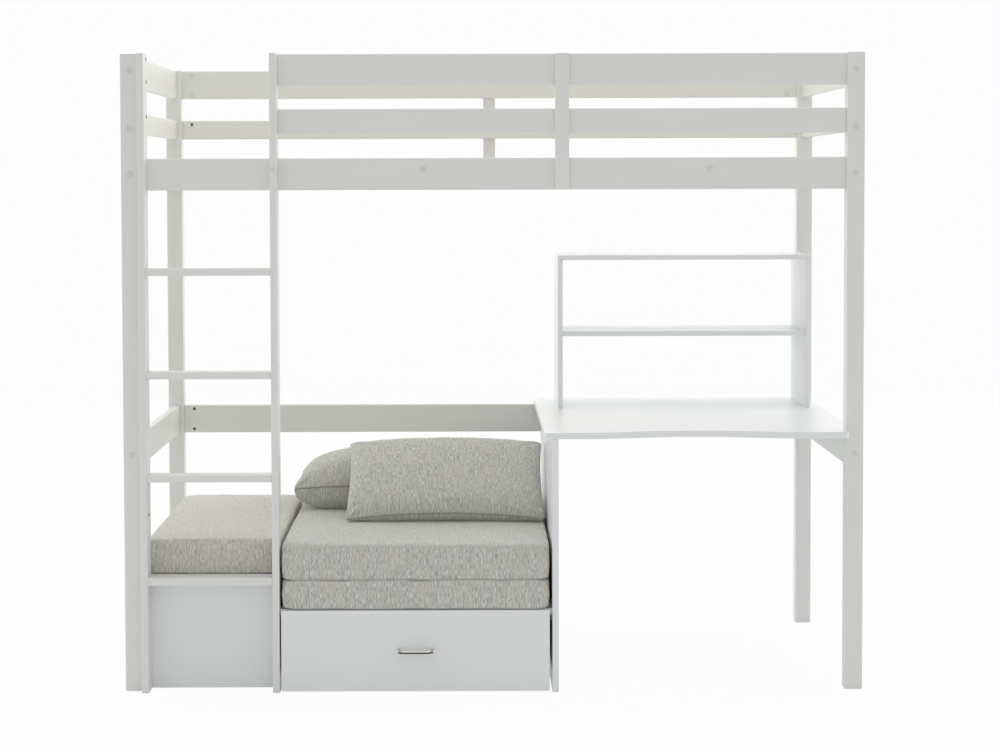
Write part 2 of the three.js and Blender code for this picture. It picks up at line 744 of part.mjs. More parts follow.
// A knife-edged pillow: its sides pull in between the four corners, and it swells to the middle.
// It lies flat, with its seam round the origin.
function pillowGeometry(pillow) {
  const spread = (i, count) => -Math.cos((i / count) * Math.PI);
  const point = (i, j, side) => {
    const u = spread(i, pillowStepsAcross);
    const v = spread(j, pillowStepsAlong);
    const x = (pillowWidth / 2) * u * (1 - pillowDrawShare * (1 - v * v));
    const y = (pillowDepth / 2) * v * (1 - pillowDrawShare * (1 - u * u));
    return [x, y, pillowHeight(pillow, side, u, v)];
  };
  const positions = [];
  const quad = (a, b, c, d) => positions.push(...a, ...b, ...c, ...a, ...c, ...d);
  for (let i = 0; i < pillowStepsAcross; i++) {
    for (let j = 0; j < pillowStepsAlong; j++) {
      const corners = (side) => [
        point(i, j, side),
        point(i + 1, j, side),
        point(i + 1, j + 1, side),
        point(i, j + 1, side),
      ];
      quad(...corners(1));
      quad(...corners(-1).reverse());
    }
  }
  const geometry = new THREE.BufferGeometry();
  geometry.setAttribute("position", new THREE.Float32BufferAttribute(positions, 3));
  const merged = mergeVertices(geometry, seat / 100);
  merged.computeVertexNormals();
  return merged;
}

// The room between the leaning pillow's underside and the points of the pillow behind it.
function roomBetween(front, rear) {
  front.updateMatrix();
  rear.updateMatrix();
  const toFront = front.matrix.clone().invert().multiply(rear.matrix);
  const places = rear.geometry.getAttribute("position");
  let room = Infinity;
  for (let i = 0; i < places.count; i++) {
    const point = new THREE.Vector3().fromBufferAttribute(places, i).applyMatrix4(toFront);
    const u = point.x / (pillowWidth / 2);
    const v = point.y / (pillowDepth / 2);
    if (Math.abs(u) >= 1 || Math.abs(v) >= 1) continue;
    room = Math.min(room, pillowHeight(frontPillow, -1, u, v) - point.z);
  }
  return room;
}

// The front pillow stands on the mattress and slides back until it rests against the other one.
function leanPillow(front, rear, x, bottom) {
  const leaning = new THREE.Box3().setFromBufferAttribute(
    front.geometry.clone().rotateX(front.rotation.x).getAttribute("position"),
  );
  front.position.set(x, 0, bottom - leaning.min.z);
  let clear = rear.position.y - frontPillowReach;
  let blocked = rear.position.y;
  for (let i = 0; i < pillowTrialCount; i++) {
    const middle = (clear + blocked) / 2;
    front.position.y = middle;
    if (roomBetween(front, rear) > seat) clear = middle;
    else blocked = middle;
  }
  front.position.y = clear;
}

function addSoftPieces(group) {
  const cushionLeft = -postInner + seat + cushionSideGap;
  const cushionRight = benchRight - cushionSideGap;
  const cushionFront = benchFront + cushionFrontGap;
  const back = insideBack - padBackGap;
  const cushionWidth = cushionRight - cushionLeft;
  const cushion = padGeometry(cushionWidth, back - cushionFront, cushionThickness);
  const cushionPlace = [(cushionLeft + cushionRight) / 2, (cushionFront + back) / 2, benchTop + seat];
  piece(group, "seat_cushion", cushion, fabric, cushionPlace);

  const padWidth = seatWidth - 2 * padSideGap;
  const padFront = -padFrontOut;
  const middleX = (benchRight + dividerLeft) / 2;
  const middleY = (padFront + back) / 2;
  const lowerBottom = platformTop + seat;
  const upperBottom = lowerBottom + lowerPadThickness + seat;
  const padTop = upperBottom + upperPadThickness;
  const lower = padGeometry(padWidth, back - padFront, lowerPadThickness);
  const upper = padGeometry(padWidth, back - padFront, upperPadThickness);
  piece(group, "mattress_lower", lower, fabric, [middleX, middleY, lowerBottom]);
  piece(group, "mattress_upper", upper, fabric, [middleX, middleY, upperBottom]);

  const backPlace = [
    benchRight + pillowWidth / 2,
    insideBack - backPillowGap - pillowDepth / 2,
    padTop + seat + backPillow.below,
  ];
  const rear = piece(group, "pillow_back", pillowGeometry(backPillow), fabric, backPlace);
  const front = piece(group, "pillow_front", pillowGeometry(frontPillow), fabric);
  front.rotation.x = frontPillowTilt;
  leanPillow(front, rear, dividerLeft - seat - pillowWidth / 2, padTop + seat);
}

const frame = new THREE.Group();
addPosts(frame);
addRails(frame);
addUprights(frame);
addSlats(frame);
addLadder(frame);
addBench(frame);
addGuestSeat(frame);
addDesk(frame);
addHutch(frame);
addDrawer(frame);
addSoftPieces(frame);

// The part's origin is at the floor, in the middle of its length and of its whole depth.
const foremost = -fasciaOut - seat - handleReach;
frame.position.y = -(foremost + bedDepth) / 2;
bed.add(frame);

export default bed;
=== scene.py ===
# Looks for the loft bed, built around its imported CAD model. Metres, +Z up, -Y is the front.
import math

import bmesh
import bpy
from mathutils import Matrix, Vector, noise
from mathutils.kdtree import KDTree


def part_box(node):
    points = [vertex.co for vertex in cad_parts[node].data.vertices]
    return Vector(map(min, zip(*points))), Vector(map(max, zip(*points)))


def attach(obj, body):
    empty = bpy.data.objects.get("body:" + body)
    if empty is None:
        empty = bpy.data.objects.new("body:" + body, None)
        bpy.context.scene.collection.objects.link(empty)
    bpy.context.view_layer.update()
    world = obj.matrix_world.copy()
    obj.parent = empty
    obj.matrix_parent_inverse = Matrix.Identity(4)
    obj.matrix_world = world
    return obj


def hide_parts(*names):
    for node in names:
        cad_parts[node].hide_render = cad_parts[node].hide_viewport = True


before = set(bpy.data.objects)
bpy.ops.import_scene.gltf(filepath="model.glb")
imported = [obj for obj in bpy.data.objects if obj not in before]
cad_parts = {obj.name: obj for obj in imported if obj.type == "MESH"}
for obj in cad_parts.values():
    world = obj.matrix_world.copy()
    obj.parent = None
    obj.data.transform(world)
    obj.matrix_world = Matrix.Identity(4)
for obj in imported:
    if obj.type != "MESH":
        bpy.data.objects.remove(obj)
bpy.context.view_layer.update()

MM = 0.001

# Camera: found from the corners of the posts, rails, shelves and boards in the photograph.
CAMERA_PLACE = (-0.0728, -6.52625, 1.4465)
CAMERA_YAW, CAMERA_PITCH, CAMERA_ROLL = -0.026, -2.488, 0.164
CAMERA_LENS = 77.333
CAMERA_SENSOR = 36  # width, in millimetres as the lens
CAMERA_SHIFT = (0.03171, -0.100)

camera_data = bpy.data.cameras.new("camera")
camera_data.lens = CAMERA_LENS
camera_data.sensor_width = CAMERA_SENSOR
camera_data.shift_x, camera_data.shift_y = CAMERA_SHIFT
camera = bpy.data.objects.new("camera", camera_data)
bpy.context.scene.collection.objects.link(camera)
turn = Matrix.Rotation(math.radians(CAMERA_YAW), 4, "Z")
turn = turn @ Matrix.Rotation(math.radians(CAMERA_PITCH), 4, "X")
turn = turn @ Matrix.Rotation(math.radians(CAMERA_ROLL), 4, "Y")
level = Matrix.Rotation(math.pi / 2, 4, "X")  # from looking down to looking at the bed
camera.matrix_world = Matrix.Translation(CAMERA_PLACE) @ turn @ level
bpy.context.scene.camera = camera
bpy.context.scene.view_settings.view_transform = "Standard"


# Materials


def linear(code):
    """An sRGB hex colour as Blender's linear RGBA."""
    shares = [int(code[i : i + 2], 16) / 255 for i in (0, 2, 4)]
    parts = [s / 12.92 if s <= 0.04045 else ((s + 0.055) / 1.055) ** 2.4 for s in shares]
    return (*parts, 1.0)


# The sockets of a Mix node that takes and gives colours
FIRST, SECOND, MIXED = 6, 7, 2


def add(tree, kind, inputs=None, **settings):
    """Adds a node. inputs maps a socket to a value or to the output that feeds it."""
    made = tree.nodes.new(kind)
    for key, value in settings.items():
        setattr(made, key, value)
    for socket, value in (inputs or {}).items():
        if isinstance(value, bpy.types.NodeSocket):
            tree.links.new(value, made.inputs[socket])
        else:
            made.inputs[socket].default_value = value
    return made


def new_material(name, roughness, metallic=0.0):
    """A material with its tree and its shader."""
    made = bpy.data.materials.new(name)
    made.use_nodes = True
    tree = made.node_tree
    shader = tree.nodes["Principled BSDF"]
    shader.inputs["Roughness"].default_value = roughness
    shader.inputs["Metallic"].default_value = metallic
    return made, tree, shader


def per_mm(*sizes):
    """The scale that makes a pattern repeat every so many millimetres in each direction."""
    return tuple(1 / (size * MM) for size in sizes)


def lengths_along(along, across_size, along_size):
    """The scale of a pattern drawn out along one axis, such as grain, in millimetres."""
    return per_mm(*[along_size if axis == along else across_size for axis in "xyz"])


def lacquered_pine(along):
    """White cover lacquer on planed pine: satin, with the grain faintly raised along the piece."""
    made, tree, shader = new_material("lacquered_pine_" + along, 0.42)
    place = add(tree, "ShaderNodeTexCoord").outputs["Object"]
    # The real grain is a millimetre or two wide; it is drawn coarse enough to show.
    lengths = lengths_along(along, 4, 140)
    run = add(tree, "ShaderNodeMapping", {"Vector": place, "Scale": lengths})
    grain = add(tree, "ShaderNodeTexNoise", {"Vector": run.outputs[0], "Scale": 1, "Detail": 3})
    lengths = lengths_along(along, 60, 420)
    drift = add(tree, "ShaderNodeMapping", {"Vector": place, "Scale": lengths})
    cloud = add(tree, "ShaderNodeTexNoise", {"Vector": drift.outputs[0], "Scale": 1, "Detail": 2})
    tone = add(
        tree,
        "ShaderNodeMix",
        {0: cloud.outputs["Fac"], FIRST: linear("e6e7e3"), SECOND: linear("ebece9")},
        data_type="RGBA",
    )
    tree.links.new(tone.outputs[MIXED], shader.inputs["Base Color"])
    gloss = add(
        tree,
        "ShaderNodeMapRange",
        {"Value": grain.outputs["Fac"], "To Min": 0.36, "To Max": 0.5},
    )
    tree.links.new(gloss.outputs[0], shader.inputs["Roughness"])
    relief = add(
        tree,
        "ShaderNodeBump",
        {"Strength": 0.25, "Distance": 0.12 * MM, "Height": grain.outputs["Fac"]},
    )
    tree.links.new(relief.outputs[0], shader.inputs["Normal"])
    return made


def coated_board():
    """White melamine film on particle board: even, finely pebbled and a little glossier."""
    made, tree, shader = new_material("melamine_board", 0.34)
    place = add(tree, "ShaderNodeTexCoord").outputs["Object"]
    pebble = add(
        tree, "ShaderNodeTexNoise", {"Vector": place, "Scale": per_mm(1.6)[0], "Detail": 1}
    )
    cloud = add(
        tree, "ShaderNodeTexNoise", {"Vector": place, "Scale": per_mm(260)[0], "Detail": 1}
    )
    tone = add(
        tree,
        "ShaderNodeMix",
        {0: cloud.outputs["Fac"], FIRST: linear("edf0f0"), SECOND: linear("f0f3f3")},
        data_type="RGBA",
    )
    tree.links.new(tone.outputs[MIXED], shader.inputs["Base Color"])
    gloss = add(
        tree,
        "ShaderNodeMapRange",
        {"Value": cloud.outputs["Fac"], "To Min": 0.3, "To Max": 0.4},
    )
    tree.links.new(gloss.outputs[0], shader.inputs["Roughness"])
    relief = add(
        tree,
        "ShaderNodeBump",
        {"Strength": 0.2, "Distance": 0.04 * MM, "Height": pebble.outputs["Fac"]},
    )
    tree.links.new(relief.outputs[0], shader.inputs["Normal"])
    return made


def washed_pine():
    """Planed pine under a thin white wash, for the slats: pale, with darker late-wood lines."""
    made, tree, shader = new_material("washed_pine", 0.62)
    place = add(tree, "ShaderNodeTexCoord").outputs["Object"]
    run = add(tree, "ShaderNodeMapping", {"Vector": place, "Scale": per_mm(70, 900, 70)})
    bend = add(tree, "ShaderNodeTexNoise", {"Vector": run.outputs[0], "Scale": 1, "Detail": 3})
    # The contour lines of a slow pattern stand for the rings, 14 from its low to its high.
    rings = add(
        tree,
        "ShaderNodeMath",
        {0: bend.outputs["Fac"], 1: 14.0},
        operation="MULTIPLY",
    )
    late = add(tree, "ShaderNodeMath", {0: rings.outputs[0]}, operation="FRACT")
    tone = add(
        tree,
        "ShaderNodeMix",
        {0: late.outputs[0], FIRST: linear("ece5d6"), SECOND: linear("e0d5bf")},
        data_type="RGBA",
    )
    tree.links.new(tone.outputs[MIXED], shader.inputs["Base Color"])
    relief = add(
        tree,
        "ShaderNodeBump",
        {"Strength": 0.3, "Distance": 0.15 * MM, "Height": late.outputs[0]},
    )
    tree.links.new(relief.outputs[0], shader.inputs["Normal"])
    return made


def brushed_nickel():
    """Nickel plate brushed along the bar, which draws its highlights out into lines. Painted shade
    darkens it in the groove and round the feet."""
    made, tree, shader = new_material("brushed_nickel", 0.22, 1.0)
    painted_shade = add(tree, "ShaderNodeAttribute", attribute_name="painted_shade").outputs["Fac"]
    # The darker colour is painted shade, in the groove and where the feet meet the drawer's front
    tone = add(
        tree,
        "ShaderNodeMix",
        {0: painted_shade, FIRST: linear("dad8d3"), SECOND: linear("6b6b65")},
        data_type="RGBA",
    )
    tree.links.new(tone.outputs[MIXED], shader.inputs["Base Color"])
    place = add(tree, "ShaderNodeTexCoord").outputs["Object"]
    run = add(tree, "ShaderNodeMapping", {"Vector": place, "Scale": per_mm(30, 0.5, 0.5)})
    lines = add(tree, "ShaderNodeTexNoise", {"Vector": run.outputs[0], "Scale": 1, "Detail": 2})
    gloss = add(
        tree,
        "ShaderNodeMapRange",
        {"Value": lines.outputs["Fac"], "To Min": 0.16, "To Max": 0.3},
    )
    tree.links.new(gloss.outputs[0], shader.inputs["Roughness"])
    return made


def zinc_plate():
    """Bright zinc-plated steel, as on small fittings: cool, with faint spangle."""
    made, tree, shader = new_material("zinc_plated_steel", 0.38, 1.0)
    place = add(tree, "ShaderNodeTexCoord").outputs["Object"]
    spangle = add(tree, "ShaderNodeTexVoronoi", {"Vector": place, "Scale": per_mm(4)[0]})
    tone = add(
        tree,
        "ShaderNodeMix",
        {0: spangle.outputs["Distance"], FIRST: linear("b4b7ba"), SECOND: linear("9c9fa3")},
        data_type="RGBA",
    )
    tree.links.new(tone.outputs[MIXED], shader.inputs["Base Color"])
    return made


def black_phosphate_and_shade():
    """Phosphated steel, as on small wood screws: near black and matt from its fine crystals. The
    near black is partly painted shade, for the shadowed holes round the heads.
    """
    made, tree, shader = new_material("phosphated_steel_and_shade", 0.8)
    place = add(tree, "ShaderNodeTexCoord").outputs["Object"]
    cloud = add(tree, "ShaderNodeTexNoise", {"Vector": place, "Scale": per_mm(2)[0]})
    # Near black: partly the phosphate's own colour, partly painted shade of the screw holes
    tone = add(
        tree,
        "ShaderNodeMix",
        {0: cloud.outputs["Fac"], FIRST: linear("1d1e1f"), SECOND: linear("2a2b2c")},
        data_type="RGBA",
    )
    tree.links.new(tone.outputs[MIXED], shader.inputs["Base Color"])
    return made


def moulded_nylon():
    """Dark moulded nylon, faintly matt from the mould, for the wheels."""
    made, tree, shader = new_material("moulded_nylon", 0.5)
    place = add(tree, "ShaderNodeTexCoord").outputs["Object"]
    grit = add(tree, "ShaderNodeTexNoise", {"Vector": place, "Scale": per_mm(0.8)[0]})
    tone = add(
        tree,
        "ShaderNodeMix",
        {0: grit.outputs["Fac"], FIRST: linear("36373a"), SECOND: linear("404144")},
        data_type="RGBA",
    )
    tree.links.new(tone.outputs[MIXED], shader.inputs["Base Color"])
    relief = add(
        tree,
        "ShaderNodeBump",
        {"Strength": 0.3, "Distance": 0.05 * MM, "Height": grit.outputs["Fac"]},
    )
    tree.links.new(relief.outputs[0], shader.inputs["Normal"])
    return made


def cap_plastic():
    """Off-white polythene of the bolt caps, a little darker than the lacquer round them."""
    made, tree, shader = new_material("cap_polythene", 0.5)
    place = add(tree, "ShaderNodeTexCoord").outputs["Object"]
    haze = add(tree, "ShaderNodeTexNoise", {"Vector": place, "Scale": per_mm(6)[0]})
    tone = add(
        tree,
        "ShaderNodeMix",
        {0: haze.outputs["Fac"], FIRST: linear("d8d9d4"), SECOND: linear("dfe0dc")},
        data_type="RGBA",
    )
    tree.links.new(tone.outputs[MIXED], shader.inputs["Base Color"])
    return made


def melange_linen(name, dark, light, fleck):
    """Upholstery linen of mixed yarns: grey ground with pale slubs along the warp."""
    made, tree, shader = new_material(name, 0.92)
    shader.inputs["Sheen Weight"].default_value = 0.5
    shader.inputs["Sheen Roughness"].default_value = 0.5
    flat = add(tree, "ShaderNodeUVMap", uv_map="weave").outputs["UV"]
    # The threads wander by a few millimetres, as they do in a loose weave.
    drift = add(tree, "ShaderNodeTexNoise", {"Vector": flat, "Scale": per_mm(16)[0], "Detail": 1})
    sway = add(
        tree,
        "ShaderNodeVectorMath",
        {0: drift.outputs["Color"], 1: (9 * MM, 4 * MM, 0)},
        operation="MULTIPLY",
    )
    weave = add(
        tree, "ShaderNodeVectorMath", {0: flat, 1: sway.outputs[0]}, operation="ADD"
    ).outputs[0]

    def slubs(across_size, along_size, detail):
        """Long uneven specks along the warp, their sizes in millimetres."""
        lengths = per_mm(across_size, along_size, 1000)
        run = add(tree, "ShaderNodeMapping", {"Vector": weave, "Scale": lengths})
        inputs = {"Vector": run.outputs[0], "Scale": 1, "Detail": detail}
        return add(tree, "ShaderNodeTexNoise", inputs).outputs["Fac"]

    # The real yarns are about 0.6 mm thick; the slubs are drawn coarse enough to show.
    broad = slubs(3.2, 60, 2)
    narrow = slubs(2.1, 16, 3)
    tint = slubs(45, 90, 1)
    signed = add(tree, "ShaderNodeAttribute", attribute_name="seam").outputs["Fac"]
    apart = add(tree, "ShaderNodeMath", {0: signed}, operation="ABSOLUTE").outputs[0]
    # Each layer: its pattern, the values where it starts and is full, its share and colour
    layers = (
        (broad, 0.36, 0.64, 1, light),
        (narrow, 0.52, 0.66, 0.66, fleck),
        (narrow, 0.48, 0.34, 0.68, "8e8d85"),  # the dark yarns between the pale ones
        (tint, 0.45, 0.65, 0.28, "d3cdb8"),  # a faint warm cast in wide patches
        (apart, 1.6 * MM, 0.4 * MM, 0.55, "55544e"),  # the shade between two sewn panels
    )
    colour = linear(dark)
    for pattern, start, full, share, yarn in layers:
        inputs = {"Value": pattern, "From Min": start, "From Max": full, "To Max": share}
        shown = add(tree, "ShaderNodeMapRange", inputs).outputs[0]
        inputs = {0: shown, FIRST: colour, SECOND: linear(yarn)}
        colour = add(tree, "ShaderNodeMix", inputs, data_type="RGBA").outputs[MIXED]
    tree.links.new(colour, shader.inputs["Base Color"])
    inputs = {"Strength": 0.5, "Distance": 0.5 * MM, "Height": narrow}
    relief = add(tree, "ShaderNodeBump", inputs)
    tree.links.new(relief.outputs[0], shader.inputs["Normal"])
    return made


pine = {along: lacquered_pine(along) for along in "xyz"}
board = coated_board()
slat_wood = washed_pine()
nickel = brushed_nickel()
zinc = zinc_plate()
phosphate_and_shade = black_phosphate_and_shade()
nylon = moulded_nylon()
caps = cap_plastic()
linen = melange_linen("melange_linen_grey", "b5b6b1", "d4d5d0", "f1f1ec")
warm_linen = melange_linen("melange_linen_warm", "bbb9af", "d9d7ce", "f3f2ea")

# How the names of the CAD nodes that are made of board begin
BOARD_NODES = ("bench_", "desk_", "hutch_", "seat_platform", "drawer_")


def finish_of(name):
    """The finish of a CAD node, by its name and the way its wood runs."""
    if name == "drawer_handle":
        return nickel
    if name == "slat_base":
        return slat_wood
    if name.startswith("caster_fork"):
        return zinc
    if name.startswith("caster_wheel"):
        return nylon
    if name.startswith(BOARD_NODES):
        return board
    low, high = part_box(name)
    size = high - low
    return pine["xyz"[max(range(3), key=lambda i: size[i])]]


for name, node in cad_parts.items():
    for slot in node.material_slots:
        slot.material = finish_of(name)


# Soft pieces

PAD_CORNER = 11 * MM  # rounding of the covers' upright corners
PAD_EDGE = 4 * MM  # rounding along the level edges
PAD_PITCH = 12 * MM  # of the cover's mesh
PAD_MERGE = 0.6 * MM  # points closer than this become one
PAD_CAP = 6 * MM  # how far the pressure may push a cover out
PAD_EDGE_CAP = 0.35  # share of that cap left at a cover's edge
PAD_CROWN_REACH = 170 * MM  # from a cover's edge to its full height
PAD_PULL = 4 * MM  # how far the seams draw a corner in, along each axis
PAD_PULL_REACH = 24 * MM  # of that pull, along the edges
PILLOW_SIZE = Vector((0.614, 0.352))
PILLOW_DRAW_SHARE = 0.03  # how far the sides pull in between the corners
PILLOW_ROUNDNESS = 2.4  # the power by which a pillow falls off towards its seam
PILLOW_PITCH = 7 * MM  # of the pillow's mesh
PILLOW_RIM = 0.9999  # share of the half size past which a point is on the rim
PILLOW_EDGE = 4 * MM  # thickness of the two panels' sewn edge
PILLOW_CORNER = 11 * MM  # rounding of the outline
PILLOW_CAP = 7 * MM  # how far the pressure may push a pillow's cover
PILLOW_GAP = 0.2 * MM  # between a pillow and the mattress
FOLD_REACH = 75 * MM  # of the small folds at a pillow's corners
FOLD_DEPTH = 3.5 * MM
FOLD_COUNT = 11  # folds that a full turn round a corner would hold
FOLD_START = 15 * MM  # from the seam to a fold's full depth
WEAVE_STEPS = 16  # that a length of cloth is measured in
RIPPLE_LENGTH = 80 * MM  # of the uneven places in a stuffed cover
SWELL_PRESSURE = 4
SIM_FRAMES = 20
FAR = 1.0  # stands for no seam near


def new_object(name, mesh_maker, finish):
    """A mesh object filled by mesh_maker(bm), with one finish."""
    bm = bmesh.new()
    mesh_maker(bm)
    mesh = bpy.data.meshes.new(name)
    bm.to_mesh(mesh)
    bm.free()
    made = bpy.data.objects.new(name, mesh)
    bpy.context.scene.collection.objects.link(made)
    mesh.materials.append(finish)
    return made


def bevel(bm, edges, offset, segments):
    """Rounds edges off."""
    bmesh.ops.bevel(
        bm,
        geom=edges,
        offset=offset,
        segments=segments,
        profile=0.5,
        affect="EDGES",
        material=-1,
    )


def split(bm, axis, places):
    """Cuts a shape across at places along an axis, in metres."""
    across = [0, 0, 0]
    across[axis] = 1
    for place in places:
        spot = [0, 0, 0]
        spot[axis] = place
        everything = bm.verts[:] + bm.edges[:] + bm.faces[:]
        bmesh.ops.bisect_plane(bm, geom=everything, plane_co=spot, plane_no=across)


def in_order(bm):
    """Puts a shape's parts in one order. Operators leave them in an order that changes from run
    to run, and the cloth would come out a little different each time."""
    ranked = sorted(bm.verts, key=lambda vertex: vertex.co[:])
    rank = {vertex: i for i, vertex in enumerate(ranked)}
    places = [vertex.co[:] for vertex in ranked]
    faces = []
    for face in bm.faces:
        corners = [rank[vertex] for vertex in face.verts]
        first = corners.index(min(corners))
        faces.append(corners[first:] + corners[:first])
    bm.clear()
    points = [bm.verts.new(place) for place in places]
    for corners in sorted(faces):
        bm.faces.new([points[i] for i in corners])


def applied(piece):
    """Takes the result of the piece's modifiers into its mesh."""
    shape = piece.evaluated_get(bpy.context.evaluated_depsgraph_get())
    mesh = bpy.data.meshes.new_from_object(shape)
    piece.modifiers.clear()
    piece.data = mesh


def swell(jobs):
    """Blows covers up as cloth, keeps each point within its limits, and takes the result."""
    scene = bpy.context.scene
    starts = {}
    for cover, limits_of in jobs:
        cloth = cover.modifiers.new("swelling", "CLOTH")
        settings = cloth.settings
        settings.quality = 5
        settings.mass = 0.3
        settings.tension_stiffness = 15
        settings.compression_stiffness = 15
        settings.shear_stiffness = 5
        settings.bending_stiffness = 0.5
        settings.use_pressure = True
        settings.uniform_pressure_force = SWELL_PRESSURE
        settings.effector_weights.gravity = 0
        cloth.collision_settings.use_collision = False
        cloth.point_cache.frame_end = SIM_FRAMES
        starts[cover.name] = [v.co.copy() for v in cover.data.vertices]
    for step in range(1, SIM_FRAMES + 1):
        scene.frame_set(step)
    for cover, limits_of in jobs:
        applied(cover)
        for vertex, start in zip(cover.data.vertices, starts[cover.name]):
            for axis, limit in enumerate(limits_of(start)):
                move = vertex.co[axis] - start[axis]
                vertex.co[axis] = start[axis] + limit * math.tanh(move / limit)
    scene.frame_set(1)


def set_weave(cover, weave_of):
    """Lays the weave flat on each panel, in metres across and along the warp."""
    layer = cover.data.uv_layers.new(name="weave")
    for face in cover.data.polygons:
        for corner in face.loop_indices:
            vertex = cover.data.vertices[cover.data.loops[corner].vertex_index]
            layer.data[corner].uv = weave_of(vertex, face.normal)


def set_seams(cover, seam_of):
    """Stores how far each point is from the seam, with a sign for the side it is on."""
    layer = cover.data.attributes.new("seam", "FLOAT", "POINT")
    for vertex, entry in zip(cover.data.vertices, layer.data):
        entry.value = seam_of(vertex)


def block_weave(vertex, normal):
    """A point's place in the weave: the warp runs up the sides and back over the top."""
    place = vertex.co
    sizes = [abs(part) for part in normal]
    if sizes[2] >= max(sizes[0], sizes[1]):
        return place.x, place.y
    if sizes[1] >= sizes[0]:
        return place.x, place.z
    return place.y, place.z


def inside_outline(place, low, high, corner):
    """How far a point lies inside a rectangle with rounded corners."""
    middle = (low + high) / 2
    x = abs(place.x - middle.x) - (high.x - low.x) / 2 + corner
    y = abs(place.y - middle.y) - (high.y - low.y) / 2 + corner
    return corner - math.hypot(max(x, 0), max(y, 0)) - min(max(x, y), 0)


def foam_block(name, node, finish, low_inset, high_inset):
    """A boxed cover over a foam block, and its limits. Its low and high sides are set in from
    the CAD solid's, by millimetres, to leave room for the swelling."""
    low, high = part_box(node)
    low = low + Vector(low_inset) * MM
    high = high - Vector(high_inset) * MM

    def climb(edge):
        return abs(edge.verts[0].co.z - edge.verts[1].co.z)

    def shape(bm):
        bmesh.ops.create_cube(bm, size=1)
        bmesh.ops.scale(bm, vec=high - low, verts=bm.verts)
        bmesh.ops.translate(bm, vec=(low + high) / 2, verts=bm.verts)
        bevel(bm, [edge for edge in bm.edges if climb(edge) > PAD_EDGE], PAD_CORNER, segments=6)
        bevel(bm, [edge for edge in bm.edges if climb(edge) < MM], PAD_EDGE, segments=3)
        for axis in range(3):
            trim = PAD_EDGE if axis == 2 else 0
            span = high[axis] - low[axis] - 2 * trim
            count = math.ceil(span / PAD_PITCH)
            places = [low[axis] + (trim + span * i / count) for i in range(1, count)]
            split(bm, axis, places)
        bmesh.ops.remove_doubles(bm, verts=bm.verts, dist=PAD_MERGE)
        for vertex in bm.verts:
            away = [min(part - a, b - part) for part, a, b in zip(vertex.co, low, high)]
            pull = PAD_PULL * math.exp(-((Vector(away).length / PAD_PULL_REACH) ** 2))
            for axis, part in enumerate(vertex.co - (low + high) / 2):
                vertex.co[axis] -= math.copysign(pull, part)
        in_order(bm)

    cover = new_object(name, shape, finish)
    set_weave(cover, block_weave)

    def seam(vertex):
        """The seam runs round the lower edge."""
        place = vertex.co
        if place.z > (low.z + high.z) / 2:
            return FAR
        return place.z - low.z - inside_outline(place, low, high, PAD_CORNER)

    set_seams(cover, seam)

    def limits(place):
        """The crown: the cover may rise more the further a point is from the edge."""
        inside = inside_outline(place, low, high, PAD_CORNER)
        share = min(1, max(0, inside) / PAD_CROWN_REACH)
        crown = (1 - PAD_EDGE_CAP) * math.sin(share * math.pi / 2)
        return (PAD_CAP * (PAD_EDGE_CAP + crown),) * 3

    return cover, limits


def round_corner(share, limit):
    """Draws the corner of a square, given as shares of its half sides, to a quarter circle."""
    over = [(abs(part) - edge) / (1 - edge) for part, edge in zip(share, limit)]
    if min(over) <= 0:
        return share
    drawn = (over[0] * math.sqrt(1 - over[1] ** 2 / 2), over[1] * math.sqrt(1 - over[0] ** 2 / 2))
    return [
        math.copysign(edge + part * (1 - edge), way)
        for edge, part, way in zip(limit, drawn, share)
    ]


def fold_corners(cover):
    """Small folds that run from a pillow's corners towards its middle."""
    normals = [vertex.normal.copy() for vertex in cover.data.vertices]
    seam = cover.data.attributes["seam"].data
    for vertex, normal, entry in zip(cover.data.vertices, normals, seam):
        away = [size / 2 - abs(part) for size, part in zip(PILLOW_SIZE, vertex.co)]
        apart = math.hypot(*away)
        turn = math.atan2(away[1], away[0])
        # A fold starts at nothing in the corner, is full at a third of its reach and dies out.
        fade = math.exp(-((apart / FOLD_REACH) ** 2)) * min(1, apart / (FOLD_REACH / 3))
        fade *= min(1, abs(entry.value) / FOLD_START)
        vertex.co += normal * (FOLD_DEPTH * fade * math.cos(FOLD_COUNT * turn))


